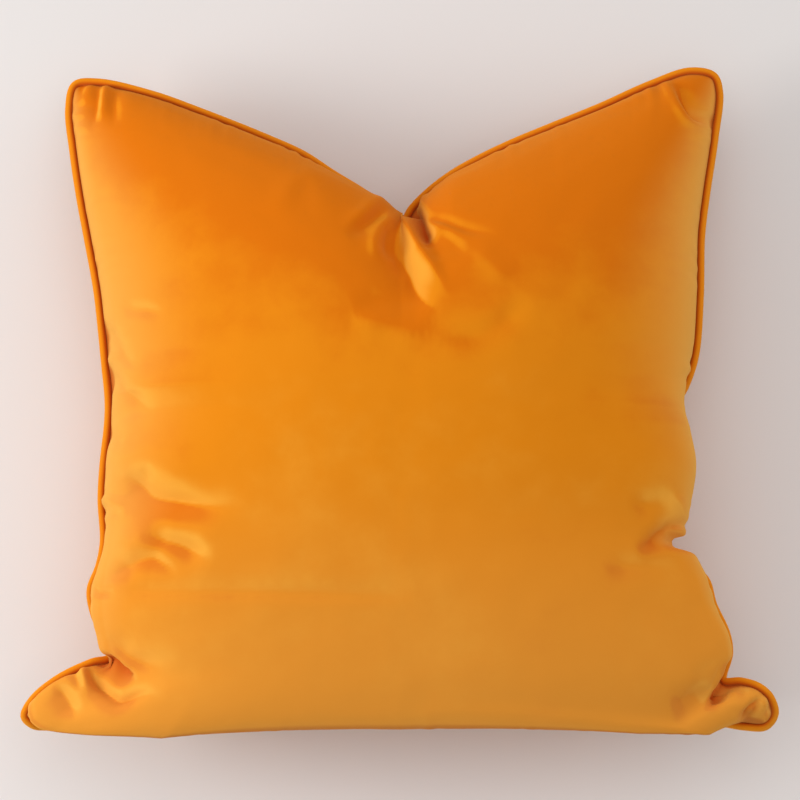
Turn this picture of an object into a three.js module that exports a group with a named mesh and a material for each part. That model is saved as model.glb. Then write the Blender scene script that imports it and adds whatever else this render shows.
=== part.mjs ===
// A square velvet cushion cover on its filling, piped all round its seam.
// It lies on its back as it was plumped and chopped: +X is its right, +Y its top edge, +Z its face.
import * as THREE from "three";

// Driving dimensions, in millimetres unless the comment says otherwise.
const FACE_RISE = 114; // from the seam up to the middle of the face
const BACK_DROP = 120; // from the seam down to the middle of the back, if nothing stopped it
const REST_ROUNDING = 12; // height over which the back rounds into its flat rest face
const CROWN_BREADTH = 2.4; // power: a higher one gives the crown a broader, flatter middle
const EDGE_STEEPNESS = 0.54; // power: a lower one lifts the panels more steeply off the seam
const FULLEST_AT = 0.43; // share of the height, from the bottom, where the filling is fullest
const BEND_FADE = 2; // power: how soon a long bend of the seam fades towards the middle of a panel
const PUCKER_FADE = 9; // power: how soon a pucker of the seam fades
const PUCKER_SHARE = 0.06; // share of a side up to which a bend counts as a pucker
const BULGE_REACH = 0.07; // share of the width over which a panel bulges out past the seam
const DEEPEST_FOLD = 0.45; // share of the local rise that a fold may cut away or add
const PIPING_RADIUS = 3;
const PIPING_GAP = 0.7; // between the piping and the stitch line
const PIPING_SIDES = 8;
const CELLS = 50; // grid cells along each side of a panel
const FADES_IN = [0, 0.3]; // shares of a fold's route over which it rises
const FADES_OUT = [0.6, 1]; // and over which it runs out
const ROUTE_STEPS = 4; // legs between two points of a fold's route, once it is rounded
const NEARNESS = 8; // power: how far the nearest leg of a fold outweighs the others
const STITCH_STRETCH = 0.0015; // share of the seam over which its direction is taken for the stitches
const BULGE_STRETCH = 0.02; // and for the way that the panels bulge
const CORNER_SHARE = 0.18; // share of a side over which its puckers are kept, from each corner
const SEAM_CROWD = { extra: 6, reach: 0.03 }; // how closely grid lines crowd at the seam
const FRACTION_STEPS = 2000; // steps in which crowding is added up along a side
const SIDE_STEPS = 1500; // steps in which a side's length is measured

// The rows of a table, as objects with the named columns.
function table(columns, rows) {
  return rows.map((row) => Object.fromEntries(columns.map((name, i) => [name, row[i]])));
}

// The seam is drawn along the middle of the piping. z is its height over the surface the cushion
// lies on; front and back say how far each panel bulges out past the seam there.
const SEAM_COLUMNS = ["x", "y", "z", "front", "back"];

const [BOTTOM_LEFT, BOTTOM_RIGHT, TOP_RIGHT, TOP_LEFT] = table(SEAM_COLUMNS, [
  [-271, 15, 100, 0, 0],
  [270, 17, 104, 0, 0],
  [237, 499, 58, 0, 0],
  [-245, 491, 62, 0, 0],
]);

// Bottom edge, left to right: two splayed corners and a nearly straight run between them.
const BOTTOM = table(SEAM_COLUMNS, [
  [-263, 9, 96, 8, 0],
  [-239, 11, 88, 31, 6],
  [-182, 19, 78, 45, 18],
  [-95, 25, 72, 46, 26],
  [0, 27, 70, 47, 26],
  [88, 25, 72, 45, 26],
  [182, 19, 76, 42, 18],
  [229, 12, 84, 35, 6],
  [250, 8, 92, 11, 0],
  [264, 8, 98, 1, 0],
]);

// Right edge, bottom to top: a deep tuck over the corner, a puffed stretch, a second tuck, then
// a long drawn-in run up to the ear.
const RIGHT = table(SEAM_COLUMNS, [
  [266, 29, 108, 0, 0],
  [258, 36, 108, 1, 0],
  [246, 40, 104, 1, 0],
  [234, 41, 98, 1, 0],
  [238, 61, 102, 12, 6],
  [236, 75, 102, 13, 8],
  [227, 96, 100, 12, 10],
  [222, 114, 98, 13, 10],
  [211, 124, 94, 20, 12],
  [193, 142, 88, 30, 14],
  [200, 171, 90, 28, 14],
  [205, 197, 92, 28, 14],
  [200, 222, 92, 28, 14],
  [200, 239, 92, 24, 14],
  [210, 258, 93, 13, 12],
  [217, 280, 95, 6, 12],
  [221, 324, 95, 3, 10],
  [223, 369, 90, 0, 2],
  [228, 403, 82, 0, 0],
  [236, 448, 70, 0, 0],
  [241, 486, 60, 0, 0],
]);

// Top edge, left to right: down the left ear into the chop, and up the right ear.
const TOP = table(SEAM_COLUMNS, [
  [-228, 493, 62, 0, 0],
  [-186, 482, 68, 0, 0],
  [-151, 468, 74, 0, 0],
  [-103, 447, 82, 2, 0],
  [-72, 432, 86, 4, 2],
  [-50, 417, 88, 8, 4],
  [-26, 402, 88, 9, 8],
  [-10, 390, 86, 6, 12],
  [2, 382, 83, 0, 14],
  [9, 392, 82, 2, 14],
  [21, 404, 84, 5, 14],
  [38, 417, 85, 6, 10],
  [56, 428, 83, 4, 6],
  [81, 441, 80, 2, 2],
  [112, 455, 76, 0, 0],
  [150, 472, 70, 0, 0],
  [189, 491, 64, 0, 0],
  [219, 502, 60, 0, 0],
]);

// Left edge, bottom to top: the tuck over the splayed corner, then the drawn-in run to the ear.
const LEFT = table(SEAM_COLUMNS, [
  [-265, 27, 102, 0, 0],
  [-247, 42, 102, 0, 0],
  [-223, 54, 98, 0, 0],
  [-211, 58, 92, 7, 2],
  [-216, 74, 92, 12, 5],
  [-223, 92, 94, 7, 5],
  [-225, 107, 95, 3, 4],
  [-219, 124, 95, 8, 4],
  [-216, 142, 94, 5, 4],
  [-218, 173, 94, 0, 4],
  [-217, 198, 94, 3, 4],
  [-214, 230, 94, 0, 4],
  [-214, 247, 93, 7, 4],
  [-217, 274, 92, 0, 4],
  [-220, 300, 90, 1, 4],
  [-224, 330, 88, 0, 3],
  [-231, 365, 84, 0, 2],
  [-238, 399, 80, 0, 0],
  [-245, 439, 72, 0, 0],
  [-249, 472, 66, 0, 0],
]);

// Folds of the face: a route across it, how far a fold reaches to the left and to the right of that
// route, how far it lifts the velvet (a negative lift sinks it), how creased it is (1 is a sharp
// crease, 2 a soft roll). It rises and runs out over the ends of its route.
const FOLDS = table(["route", "left", "right", "lift", "crease"], [
  // The crease that the chop leaves, the lobe beside it and the slit that the lobe hides.
  [[[-5, 382], [-2, 363], [-1, 346], [2, 332], [8, 319], [18, 300], [27, 294]], 11, 12, -9, 1.3],
  [[[-9, 405], [-4, 394], [0, 383], [9, 360], [19, 338], [32, 313]], 5, 11, 6, 1.8],
  [[[-14, 424], [-6, 404], [2, 386], [8, 369], [13, 358], [17, 349], [21, 336]], 9, 5, -12, 1.6],
  // The small folds that run out of it, and the slack below it.
  [[[-8, 375], [-16, 360], [-20, 349], [-13, 332]], 6, 6, 2.5, 2],
  [[[-6, 382], [-17, 368], [-34, 350]], 6, 7, -4, 1.8],
  [[[17, 372], [29, 364], [62, 346]], 5, 6, 2, 2],
  [[[24, 362], [33, 352], [50, 325]], 7, 7, -3, 2],
  [[[-39, 302], [-14, 298], [8, 291], [37, 290]], 9, 10, 2.5, 2],
  [[[0, 277], [22, 276], [41, 279], [61, 289], [82, 312]], 8, 7, -2.5, 1.8],
  [[[-104, 362], [-84, 390], [-62, 376], [-52, 350]], 9, 9, 2, 2],
  // The gathers of the drawn-in left edge.
  [[[-213, 294], [-193, 268]], 7, 7, -7, 1.5],
  [[[-212, 262], [-195, 243], [-186, 235]], 8, 7, -9, 1.5],
  // The arched dents below them, each with the roll over it.
  [[[-215, 191], [-194, 198], [-171, 193], [-148, 177], [-137, 167]], 10, 8, 4, 2],
  [[[-201, 174], [-180, 176], [-156, 166], [-142, 160]], 10, 10, -11, 2],
  [[[-212, 166], [-192, 158], [-170, 149]], 8, 9, 4, 2],
  [[[-176, 152], [-150, 149], [-133, 141]], 8, 8, 4, 2],
  [[[-181, 141], [-161, 132], [-142, 121]], 8, 8, -9, 1.6],
  [[[-205, 132], [-184, 138], [-166, 130]], 7, 7, 4, 2],
  [[[-203, 119], [-184, 123], [-168, 115]], 7, 7, -7, 1.6],
  [[[-179, 102], [-112, 98], [8, 95]], 9, 8, -3, 1.5],
  // The tuck over the lower left corner, and the hollows and the lobe of the corner itself.
  [[[-217, 65], [-204, 50], [-190, 38]], 7, 9, -14, 1.3],
  [[[-200, 64], [-180, 52], [-146, 56]], 14, 9, -8, 1.6],
  [[[-222, 49], [-210, 31], [-198, 24], [-180, 27], [-166, 30]], 9, 8, -11, 1.5],
  [[[-216, 50], [-196, 36], [-180, 38]], 8, 8, 4, 2],
  [[[-250, 33], [-238, 25], [-231, 15]], 6, 8, -5, 1.5],
  // The two tucks of the right edge and the slack cloth beside them.
  [[[173, 137], [191, 146], [202, 151]], 9, 8, -8, 1.5],
  [[[214, 132], [196, 139]], 7, 8, -6, 1.4],
  [[[152, 107], [184, 119], [199, 127]], 10, 10, -3, 1.8],
  [[[239, 54], [225, 33], [214, 14]], 8, 7, -16, 1.3],
  [[[186, 36], [214, 47], [228, 51]], 7, 9, -4.5, 1.6],
  [[[192, 20], [216, 31], [224, 36]], 8, 8, -5, 1.6],
  [[[261, 28], [248, 16], [245, 12]], 8, 6, -6, 1.4],
  // The slack in both ears.
  [[[-223, 492], [-224, 463], [-227, 447]], 7, 7, 4, 2],
  [[[-214, 490], [-212, 471], [-210, 452]], 9, 8, -4.5, 1.6],
  [[[208, 488], [223, 466], [233, 457]], 11, 7, -6, 1.4],
]);

// Where the grid lines of a panel crowd, as shares of a side: over the chop, the dents and the tucks.
const CROWD_COLUMNS = ["middle", "reach", "extra"];
const CROWDS_ACROSS = table(CROWD_COLUMNS, [
  [0.51, 0.06, 1.6],
  [0.14, 0.07, 0.6],
]);
const CROWDS_UP = table(CROWD_COLUMNS, [
  [0.28, 0.1, 0.8],
  [0.76, 0.08, 0.5],
]);

// The seam as one closed curve, and the four sides as stretches of it.
const SEAM_ROWS = [
  BOTTOM_LEFT, ...BOTTOM, BOTTOM_RIGHT, ...RIGHT, TOP_RIGHT,
  ...TOP.toReversed(), TOP_LEFT, ...LEFT.toReversed(),
];
const SEAM = new THREE.CatmullRomCurve3(
  SEAM_ROWS.map((row) => new THREE.Vector3(row.x, row.y, row.z)),
  true,
  "centripetal",
);
const shareOf = (row) => SEAM_ROWS.indexOf(row) / SEAM_ROWS.length;
const SIDES = {
  bottom: [0, shareOf(BOTTOM_RIGHT)],
  right: [shareOf(BOTTOM_RIGHT), shareOf(TOP_RIGHT)],
  top: [shareOf(TOP_LEFT), shareOf(TOP_RIGHT)],
  left: [1, shareOf(TOP_LEFT)],
};

// Fractions from 0 to 1, close together where closeness is high.
function fractions(closeness) {
  const steps = FRACTION_STEPS;
  const sums = [0];
  for (let i = 0; i < steps; i++) sums.push(sums[i] + closeness((i + 0.5) / steps));
  const total = sums[steps];
  const out = [];
  let step = 0;
  for (let k = 0; k <= CELLS; k++) {
    const wanted = (total * k) / CELLS;
    while (step < steps - 1 && sums[step + 1] < wanted) step++;
    out.push((step + (wanted - sums[step]) / (sums[step + 1] - sums[step])) / steps);
  }
  return out;
}

const near = (s, middle, reach) => Math.exp(-(((s - middle) / reach) ** 2));

// How closely grid lines crowd at the seam, where the panels turn steeply.
function atSeam(s) {
  const { extra, reach } = SEAM_CROWD;
  return extra * (Math.exp(-s / reach) + Math.exp((s - 1) / reach));
}

// How closely they lie at a share of a side, as a function of that share.
const crowding = (crowds) => (s) =>
  crowds.reduce((sum, { middle, reach, extra }) => sum + extra * near(s, middle, reach), 1 + atSeam(s));
const ACROSS = fractions(crowding(CROWDS_ACROSS));
const UP = fractions(crowding(CROWDS_UP));

// A column of the seam table at a share of the whole seam, between its rows.
function seamValue(column, share) {
  const at = (share % 1) * SEAM_ROWS.length;
  const row = Math.floor(at);
  const next = (row + 1) % SEAM_ROWS.length;
  return THREE.MathUtils.lerp(SEAM_ROWS[row][column], SEAM_ROWS[next][column], at - row);
}

// The seam's sideways normal, pointing out of the cushion, over a stretch of the seam.
function outward(share, stretch) {
  const along = SEAM.getPoint((share + stretch) % 1).sub(SEAM.getPoint((share - stretch + 1) % 1));
  return new THREE.Vector3(along.y, -along.x, 0).normalize();
}

// The stations of one side, at fractions of its length: the piping's centre, the stitch line
// inside it, and how the two panels bulge past it.
function side([from, to], at) {
  const steps = SIDE_STEPS;
  const shares = Array.from({ length: steps + 1 }, (_, i) => from + ((to - from) * i) / steps);
  const points = shares.map((share) => SEAM.getPoint(share % 1));
  const lengths = [0];
  for (let i = 0; i < steps; i++) lengths.push(lengths[i] + points[i].distanceTo(points[i + 1]));
  let step = 0;
  return at.map((fraction) => {
    const wanted = fraction * lengths[steps];
    while (step < steps - 1 && lengths[step + 1] < wanted) step++;
    const part = (wanted - lengths[step]) / (lengths[step + 1] - lengths[step]);
    const share = THREE.MathUtils.lerp(shares[step], shares[step + 1], part);
    const piping = SEAM.getPoint(share % 1);
    const inwards = outward(share, STITCH_STRETCH).negate();
    const stitch = piping.clone().addScaledVector(inwards, PIPING_RADIUS + PIPING_GAP);
    return {
      share,
      piping,
      stitch,
      out: outward(share, BULGE_STRETCH),
      front: seamValue("front", share),
      back: seamValue("back", share),
    };
  });
}

// The side's stitch line without its puckers: each station is averaged with its neighbours, less so
// towards the corners, which stay where they are.
function withoutPuckers(stations, at) {
  return at.map((here, k) => {
    const sum = new THREE.Vector3();
    let total = 0;
    stations.forEach(({ stitch }, other) => {
      const weight = near(at[other], here, PUCKER_SHARE) / closenessThere(at, other);
      sum.addScaledVector(stitch, weight);
      total += weight;
    });
    const inner = THREE.MathUtils.smoothstep(Math.min(here, 1 - here), 0, CORNER_SHARE);
    return stations[k].stitch.clone().lerp(sum.divideScalar(total), inner);
  });
}

// Grid lines for each share of a side, near one of them.
function closenessThere(at, k) {
  return 2 / (at[Math.min(k + 1, CELLS)] - at[Math.max(k - 1, 0)]);
}

const EDGES = {
  bottom: side(SIDES.bottom, ACROSS),
  top: side(SIDES.top, ACROSS),
  left: side(SIDES.left, UP),
  right: side(SIDES.right, UP),
};
for (const [name, at] of [["bottom", ACROSS], ["top", ACROSS], ["left", UP], ["right", UP]])
  withoutPuckers(EDGES[name], at).forEach((smooth, k) => {
    EDGES[name][k].smooth = smooth;
  });

// A point of the surface that the seam spans, before the filling rounds it.
function flatPoint(i, j) {
  const [u, v] = [ACROSS[i], UP[j]];
  const { bottom, top, left, right } = EDGES;
  const corners = [bottom[0], bottom[CELLS], top[0], top[CELLS]].map((station) => station.stitch);
  const low = corners[0].clone().lerp(corners[1], u);
  const high = corners[2].clone().lerp(corners[3], u);
  const start = corners[0].clone().lerp(corners[2], v);
  const end = corners[1].clone().lerp(corners[3], v);
  const point = low.clone().lerp(high, v);
  const pulls = [[bottom[i], low, 1 - v], [top[i], high, v], [left[j], start, 1 - u], [right[j], end, u]];
  for (const [{ stitch, smooth }, chord, closeness] of pulls) {
    point.addScaledVector(smooth.clone().sub(chord), closeness ** BEND_FADE);
    point.addScaledVector(stitch.clone().sub(smooth), closeness ** PUCKER_FADE);
  }
  return point;
}

// How full the cushion is at a grid point, from 0 at the seam to 1 where it is fullest.
function fullness(i, j) {
  const warp = Math.log(0.5) / Math.log(FULLEST_AT);
  const across = 1 - Math.abs(2 * ACROSS[i] - 1) ** CROWN_BREADTH;
  const up = 1 - Math.abs(2 * UP[j] ** warp - 1) ** CROWN_BREADTH;
  return (across * up) ** EDGE_STEEPNESS;
}

// How far a panel bulges out past its seam, as a vector, for the front or the back.
function bulge(i, j, panel) {
  const swell = (distance) => (distance / BULGE_REACH) * Math.exp(1 - distance / BULGE_REACH);
  const [u, v] = [ACROSS[i], UP[j]];
  const { bottom, top, left, right } = EDGES;
  const shift = new THREE.Vector3();
  for (const [station, distance] of [[bottom[i], v], [top[i], 1 - v], [left[j], u], [right[j], 1 - u]])
    shift.addScaledVector(station.out, station[panel] * swell(distance));
  return shift;
}

// A height over the rest surface, rounded off to 0 where the cushion would sink into it.
function rested(z) {
  if (z >= REST_ROUNDING) return z;
  return z <= -REST_ROUNDING ? 0 : (z + REST_ROUNDING) ** 2 / (4 * REST_ROUNDING);
}

const isEdge = (i, j) => i === 0 || j === 0 || i === CELLS || j === CELLS;

// One panel's grid of points, pressed out by the filling.
function panel(name) {
  const grid = [];
  for (let j = 0; j <= CELLS; j++)
    for (let i = 0; i <= CELLS; i++) {
      const point = flatPoint(i, j);
      const full = fullness(i, j);
      point.add(bulge(i, j, name));
      if (name === "front") point.z += FACE_RISE * full;
      else if (!isEdge(i, j)) point.z = rested(point.z - BACK_DROP * full);
      grid.push(point);
    }
  return grid;
}

// A fold's route with its corners rounded off.
function rounded(route) {
  const corners = route.map(([x, y]) => new THREE.Vector2(x, y));
  return new THREE.SplineCurve(corners).getPoints(ROUTE_STEPS * (corners.length - 1));
}

// How far a fold lifts the velvet at a spot: fully on its route, and less to the sides and ends.
// The legs of the route are weighed by nearness, so that no edge shows between two of them.
function foldLift(fold, curve, spot) {
  const legs = curve.length - 1;
  let [total, along, onLeft] = [0, 0, 0];
  for (let leg = 0; leg < legs; leg++) {
    const run = curve[leg + 1].clone().sub(curve[leg]);
    const off = spot.clone().sub(curve[leg]);
    const part = THREE.MathUtils.clamp(off.dot(run) / run.lengthSq(), 0, 1);
    off.addScaledVector(run, -part);
    const distance = off.length() + Number.EPSILON;
    const weight = distance ** -NEARNESS;
    total += weight;
    along += (weight * (leg + part)) / legs;
    onLeft += (weight * run.cross(off)) / (run.length() * distance);
  }
  const nearest = total ** (-1 / NEARNESS);
  const reach = THREE.MathUtils.lerp(fold.right, fold.left, (1 + onLeft / total) / 2);
  const sideways = Math.exp(-((nearest / reach) ** fold.crease));
  const fadesIn = THREE.MathUtils.smoothstep(along / total, ...FADES_IN);
  const fadesOut = 1 - THREE.MathUtils.smoothstep(along / total, ...FADES_OUT);
  return fold.lift * sideways * fadesIn * fadesOut;
}

// The face with its folds, each point lifted or sunk straight up or down.
function foldedFace() {
  const curves = FOLDS.map((fold) => rounded(fold.route));
  return panel("front").map((point, index) => {
    const i = index % (CELLS + 1);
    const j = Math.floor(index / (CELLS + 1));
    if (isEdge(i, j)) return point;
    const spot = new THREE.Vector2(point.x, point.y);
    const lift = FOLDS.reduce((sum, fold, k) => sum + foldLift(fold, curves[k], spot), 0);
    const most = DEEPEST_FOLD * FACE_RISE * fullness(i, j);
    point.z += THREE.MathUtils.clamp(lift, -most, most);
    return point;
  });
}

function geometryFrom(points, triangles) {
  const geometry = new THREE.BufferGeometry().setFromPoints(points);
  geometry.setIndex(triangles.flat());
  geometry.computeVertexNormals();
  return geometry;
}

// The filled cover: the face and the back, joined along the stitch line.
function cushionGeometry() {
  const points = foldedFace();
  const backStart = points.length;
  points.push(...panel("back"));
  const face = (i, j) => j * (CELLS + 1) + i;
  const back = (i, j) => (isEdge(i, j) ? face(i, j) : backStart + face(i, j));
  const triangles = [];
  for (let j = 0; j < CELLS; j++)
    for (let i = 0; i < CELLS; i++) {
      // The diagonals run towards the middle of each side, so that no corner cell is cut off flat.
      const rising = (i < CELLS / 2) === (j < CELLS / 2);
      for (const [id, flip] of [[face, false], [back, true]]) {
        const [a, b, c, d] = [id(i, j), id(i + 1, j), id(i + 1, j + 1), id(i, j + 1)];
        const pair = rising ? [[a, b, c], [a, c, d]] : [[a, b, d], [b, c, d]];
        triangles.push(...pair.map((corners) => (flip ? corners.toReversed() : corners)));
      }
    }
  return geometryFrom(points, triangles);
}

// The piping: a covered cord that follows the seam all round, and closes on itself.
function pipingGeometry() {
  const { bottom, right, top, left } = EDGES;
  const ring = [
    ...bottom.slice(0, CELLS),
    ...right.slice(0, CELLS),
    ...top.toReversed().slice(0, CELLS),
    ...left.toReversed().slice(0, CELLS),
  ];
  const points = [];
  const triangles = [];
  ring.forEach(({ share, piping }, k) => {
    const tangent = SEAM.getTangent(share % 1);
    const out = new THREE.Vector3(tangent.y, -tangent.x, 0).normalize();
    const up = out.clone().cross(tangent).normalize();
    for (let s = 0; s < PIPING_SIDES; s++) {
      const angle = (2 * Math.PI * s) / PIPING_SIDES;
      const point = piping.clone().addScaledVector(out, PIPING_RADIUS * Math.cos(angle));
      points.push(point.addScaledVector(up, PIPING_RADIUS * Math.sin(angle)));
      const next = (s + 1) % PIPING_SIDES;
      const here = k * PIPING_SIDES;
      const ahead = ((k + 1) % ring.length) * PIPING_SIDES;
      triangles.push([here + s, ahead + s, ahead + next], [here + s, ahead + next, here + next]);
    }
  });
  return geometryFrom(points, triangles);
}

const velvet = new THREE.MeshStandardMaterial({ color: 0xe4851c, roughness: 0.85, metalness: 0 });
const pipingVelvet = new THREE.MeshStandardMaterial({ color: 0xd9741a, roughness: 0.8, metalness: 0 });

const cushion = new THREE.Mesh(cushionGeometry(), velvet);
cushion.name = "cushion";

const piping = new THREE.Mesh(pipingGeometry(), pipingVelvet);
piping.name = "piping";

// The origin is under the middle of the whole cushion, on the surface it lies on.
const part = new THREE.Group();
part.add(cushion, piping);
const middle = new THREE.Box3().setFromObject(part).getCenter(new THREE.Vector3());
part.position.set(-middle.x, -middle.y, 0);

export default part;
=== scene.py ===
"""A piped velvet cushion, filled and chopped, lying on its back in soft studio light.

Its form comes from the seam: a closed curve through the rows of the seam tables. Two panels
spring from that curve, crowned by the filling, and the listed folds are moved into them.
Tables are in millimetres, as the part's own; everything made from them is in metres.
"""
import math

import bpy
import numpy as np
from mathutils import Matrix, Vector


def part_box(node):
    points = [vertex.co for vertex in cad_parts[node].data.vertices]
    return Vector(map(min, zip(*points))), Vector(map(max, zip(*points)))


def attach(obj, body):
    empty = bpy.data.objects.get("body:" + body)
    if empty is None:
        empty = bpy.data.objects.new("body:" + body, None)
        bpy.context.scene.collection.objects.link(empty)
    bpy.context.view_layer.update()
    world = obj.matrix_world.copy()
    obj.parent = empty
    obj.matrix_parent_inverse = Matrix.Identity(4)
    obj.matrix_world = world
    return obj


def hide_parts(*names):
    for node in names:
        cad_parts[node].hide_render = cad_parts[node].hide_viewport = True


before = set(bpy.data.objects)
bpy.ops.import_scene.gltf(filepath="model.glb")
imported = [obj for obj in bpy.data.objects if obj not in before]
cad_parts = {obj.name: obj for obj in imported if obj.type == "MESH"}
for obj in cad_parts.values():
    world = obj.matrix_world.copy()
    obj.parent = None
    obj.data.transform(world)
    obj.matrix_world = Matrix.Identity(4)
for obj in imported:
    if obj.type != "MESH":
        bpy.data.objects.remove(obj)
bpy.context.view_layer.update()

MM = 0.001

# The form, with the sizes of the solid that the cushion stands for.
FACE_RISE = 114 * MM
BACK_DROP = 120 * MM
REST_ROUNDING = 12 * MM  # height over which the back rounds into its rest face
CROWN_BREADTH = 2.4  # powers: how broad the crown is, and how steep it is at the seam
EDGE_STEEPNESS = 0.54
FULLEST_AT = 0.43  # share of the way up the face
BEND_FADE = 2  # powers by which a side's bends, and its puckers, fade into a panel
PUCKER_FADE = 9
PUCKER_SHARE = 0.06  # share of a side over which its puckers are averaged out
CORNER_SHARE = 3 * PUCKER_SHARE  # share of a side over which its puckers are kept, from a corner
BULGE_REACH = 0.07  # share of a panel at which it bulges out furthest
DEEPEST_FOLD = 0.45  # share of the face's rise
ROUTE_STEPS = 4  # steps between two points of a fold's route
NEARNESS = 8  # power by which the nearest leg of a route outweighs the others
PAINTED_LIGHT_FROM = (-1.1, -0.9, 0)  # painted light: folds that face this way are painted paler, and those facing away deeper
PAINTED_SLOPE_SHADING = 0.75  # and painted shade: deeper where the whole face slopes down to the top edge
PAINTED_SLOPE_SHADING_OVER = (0.05, 0.5)  # shares of the way up the face over which that sets in
SIDES_TURN = (0.3, 1.1)  # sideways parts of the normal between which painted sheen pales the velvet
SIDES_SHARE = (0.4, 0.8)  # shares of the way from the middle to a side edge over which it may
LOWER_PAINTED_SHEEN = 0.42  # how far painted sheen pales it towards the bottom edge too
LOWER_SHARE = (0.05, 0.45)  # shares of the way up the face over which that ends
UNDER_PAINTED_SHADE = 0.8  # how deep the painted shade is where it turns under at the bottom edge
UNDER_TURN = (0.8, 1)  # downward parts of the normal between which it does
FADES_IN = (0, 0.3)  # shares of a fold's route
FADES_OUT = (0.6, 1)
GATHER_DEPTH = 1.5 * MM  # how deep the stitching draws the velvet in along the seam
GATHER_LENGTHS = (13, 19, 31)  # spacings of the gathers, in millimetres
GATHER_GROUPS = (97, 61)  # and of the stretches where they bunch
GATHER_REACH = 0.02  # shares of a panel over which they fade out, and set in at the seam
GATHER_START = 0.006
FRONT_TURN = 1.3  # where each panel's gathers start, in radians, so that the two differ
BACK_TURN = 2.9
GROOVE_WIDTH = 1.2 * MM  # how far from the stitches the velvet is painted with their shade
PIPING_RADIUS = 3 * MM
PIPING_SHADE = (-0.3, 1)  # how far round its inner side the piping is painted with the groove's shade
PIPING_BITE = 0.4 * MM  # how far the piping is pulled into the velvet by its stitches
PIPING_STEPS = 1400
PIPING_SIDES = 16
PIPING_STRETCH = 0.0004  # share of the seam over which its direction is taken for the piping
STITCH_STRETCH = 0.0015  # for the stitches
BULGE_STRETCH = 0.02  # and for the way that the panels bulge
FACE_CELLS = 280  # grid cells along each side of the face
BACK_CELLS = 140
CLOTH_CELLS = 90
SEAM_CROWD = 4  # how closely grid lines crowd at the seam
SEAM_CROWD_REACH = 0.03
CHOP_CROWD = 0.9  # and under the chop
CHOP_AT = 0.51
CHOP_CROWD_REACH = 0.06
FRACTION_STEPS = 4000  # steps in which crowding is added up along a side
SIDE_STEPS = 6000  # steps in which a side's length is measured
SEAM_STEPS = 40000  # and in which the whole seam's is

# The cloth stage: the flat cut that the panels settle from, in metres, and how they settle.
CUT_WIDTH = 0.545
CUT_HEIGHT = 0.560
CUT_RISE = 0.004
CLOTH_FRAMES = 20
CLOTH_QUALITY = 5
POINT_MASS = 0.0003
FILLING_HOLD = 0.1  # how firmly the filling holds the panels in place; the seam is held by 1
STRETCH_STIFFNESS = 12
SHEAR_STIFFNESS = 3
BEND_STIFFNESS = 0.3
STRETCH_DAMPING = 5
BEND_DAMPING = 0.5
AIR_DAMPING = 1
SMOOTHING = 3  # passes of smoothing over the moves

# The velvet. Each colour trio is painted shaded, plain and painted lit, over patches of tone.
FACE_COLOURS = ((0.70, 0.158, 0.0004), (0.79, 0.24, 0.004), (0.90, 0.38, 0.035))
PIPING_COLOURS = ((0.70, 0.18, 0.001), (0.80, 0.24, 0.004), (0.88, 0.31, 0.010))
TONE_PLACES = (0, 0.27, 0.68)
# the painted shade of creases, of the seam's groove and of the turned-under bottom edge
PAINTED_SHADE_COLOUR = (0.50, 0.05, 0.0005)
# the painted sheen near the side and bottom edges
PAINTED_SHEEN_COLOUR = (0.82, 0.38, 0.07)
FACE_SHEEN = 0.42
PIPING_SHEEN = 0.6
SHEEN_TINT = (1, 0.66, 0.14, 1)
SHEEN_ROUGHNESS = 0.56
ROUGHNESS = 0.75
SPECULAR = 0.04
BRUSHED = {"Scale": 9, "Detail": 2}  # broad patches, as a hand leaves them
CRUSHED = {"Scale": 38, "Detail": 5, "Roughness": 0.6}  # and smaller ones
CRUSHED_SHARE = 0.45
PATCH_STRENGTH = 0.55
PILE = {"Scale": 2500, "Detail": 2}
PILE_STRENGTH = 0.25
PILE_DEPTH = 0.4 * MM
PILE_LEAN = (0, -0.3, 0)  # the nap is brushed towards the bottom edge

# The studio. Lights: name, place, size, watts, colour; each looks at LIT_POINT.
LIGHTS = [
    ("window", (-1.9, -0.15, 1.0), (1.0, 1.0), 27, (1, 0.985, 0.97)),
    ("fill", (0.1, 0.1, 2.4), (1.6, 1.6), 9, (1, 0.98, 0.96)),
    ("room", (2.1, 0.2, 0.8), (1.2, 1.0), 6, (1, 0.98, 0.95)),
]
LIT_POINT = (0, 0, 0.1)
FLOOR_SIZE = 8
FLOOR_COLOUR = (0.74, 0.72, 0.705, 1)
FLOOR_ROUGHNESS = 0.8
# The sky is brightest overhead and beyond the top edge, and dimmer past the bottom edge.
SKY_BRIGHT_WAY = (0, 0.5, 0.87)
SKY_COLOUR = (0.96, 0.94, 0.95, 1)
SKY_LEVELS = {"From Min": -0.5, "From Max": 1, "To Min": 0.12, "To Max": 0.86}

# The camera looks at the face from 8 degrees above its normal, towards the bottom edge.
CAMERA_TILT = math.radians(8)
CAMERA_DISTANCE = 2.327
CAMERA_TARGET = (0, 247 * MM, 90 * MM)
SENSOR = 36
FOCAL_IN_IMAGE_WIDTHS = 3166 / 800

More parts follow.
